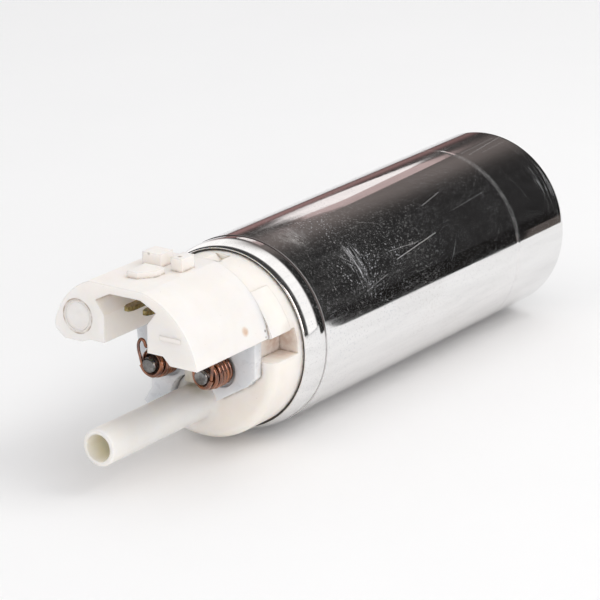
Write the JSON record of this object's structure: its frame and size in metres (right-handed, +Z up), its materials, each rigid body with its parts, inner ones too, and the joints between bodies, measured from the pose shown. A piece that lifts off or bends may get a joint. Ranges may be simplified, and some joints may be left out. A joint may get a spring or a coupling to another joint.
{
  "type": "electric fuel pump",
  "caption": "In-tank electric fuel pump with a round steel can, a white end cap, an outlet tube and a hooded plug socket; its motor turns meshing rotors inside.",
  "frame": {"origin": "middle of the round can, on its axis", "axes": "+Y along the can from the outlet end to the inlet end, +Z up towards the plug socket, +X to the right seen from the outlet end"},
  "size_m": [0.043, 0.1675, 0.0456],
  "materials": {
    "can_steel": "bright plated steel, lightly scratched",
    "ivory_plastic": "natural acetal moulding, satin",
    "natural_nylon": "translucent natural nylon",
    "seal_rubber": "matt black rubber",
    "bronze": "oil-filled sintered bronze",
    "cast_aluminium": "machined die casting",
    "sintered_steel": "ground sintered steel",
    "spring_steel": "bright spring steel",
    "ferrite": "matt grey ferrite",
    "copper_wire": "enamelled copper, red-brown and glossy",
    "brass": "plain brass, slightly dull",
    "ground_steel": "ground steel",
    "copper_bar": "bare copper",
    "phenolic": "dark moulding",
    "carbon": "graphite"
  },
  "bodies": {
    "pump_body": {"can": "can_steel", "end_cap": "ivory_plastic", "end_cap_seal": "seal_rubber", "connector_housing": "ivory_plastic", "front_bush": "bronze", "rear_bush": "bronze", "bearing_plate": "cast_aluminium", "pump_ring": "sintered_steel", "inlet_cover": "cast_aluminium", "inlet_cover_seal": "seal_rubber", "upper_magnet_clip": "spring_steel", "lower_magnet_clip": "spring_steel", "left_magnet": "ferrite", "right_magnet": "ferrite", "left_choke_carrier": "natural_nylon", "right_choke_carrier": "natural_nylon", "left_choke_core": "ferrite", "right_choke_core": "ferrite", "left_choke_coil": "copper_wire", "right_choke_coil": "copper_wire", "left_terminal": "brass", "right_terminal": "brass", "left_brush_spring": "spring_steel", "right_brush_spring": "spring_steel", "check_valve_seat": "brass", "check_valve_spring": "spring_steel", "relief_valve_seat": "brass", "relief_valve_spring": "spring_steel"},
    "rotor": {"shaft": "ground_steel", "commutator": "copper_bar", "commutator_hub": "phenolic", "armature_core": "sintered_steel", "front_winding": "copper_wire", "rear_winding": "copper_wire", "inner_rotor": "sintered_steel"},
    "outer_ring": {"outer_rotor": "sintered_steel"},
    "left_brush_body": {"left_brush": "carbon"},
    "right_brush_body": {"right_brush": "carbon"},
    "check_valve": {"check_valve_poppet": "phenolic", "check_valve_face": "seal_rubber"},
    "relief_valve": {"relief_valve_ball": "ground_steel"}
  },
  "joints": [
    {"name": "rotor_spin", "type": "hinge", "parent": "pump_body", "child": "rotor", "pos_m": [0, 0, 0], "axis": [0, 1, 0], "continuous": true},
    {"name": "outer_rotor_spin", "type": "hinge", "parent": "pump_body", "child": "outer_ring", "pos_m": [-0.0012, 0.0379, 0], "axis": [0, 1, 0], "continuous": true},
    {"name": "check_valve_slide", "type": "slide", "parent": "pump_body", "child": "check_valve", "axis": [0, -1, 0], "range_m": [0, 0.002], "stiffness_N_per_m": 60, "springref_m": -0.004, "deforming": ["check_valve_spring"]},
    {"name": "relief_valve_slide", "type": "slide", "parent": "pump_body", "child": "relief_valve", "axis": [0, -1, 0], "range_m": [0, 0.0015], "stiffness_N_per_m": 200, "springref_m": -0.003, "deforming": ["relief_valve_spring"]},
    {"name": "left_brush_slide", "type": "slide", "parent": "pump_body", "child": "left_brush_body", "axis": [0, -1, 0], "range_m": [0, 0.0015], "stiffness_N_per_m": 150, "springref_m": -0.004, "deforming": ["left_brush_spring"]},
    {"name": "right_brush_slide", "type": "slide", "parent": "pump_body", "child": "right_brush_body", "axis": [0, -1, 0], "range_m": [0, 0.0015], "stiffness_N_per_m": 150, "springref_m": -0.004, "deforming": ["right_brush_spring"]}
  ],
  "couplings": [
    {"joint": "outer_rotor_spin", "follows": "rotor_spin", "ratio": 0.85714}
  ]
}
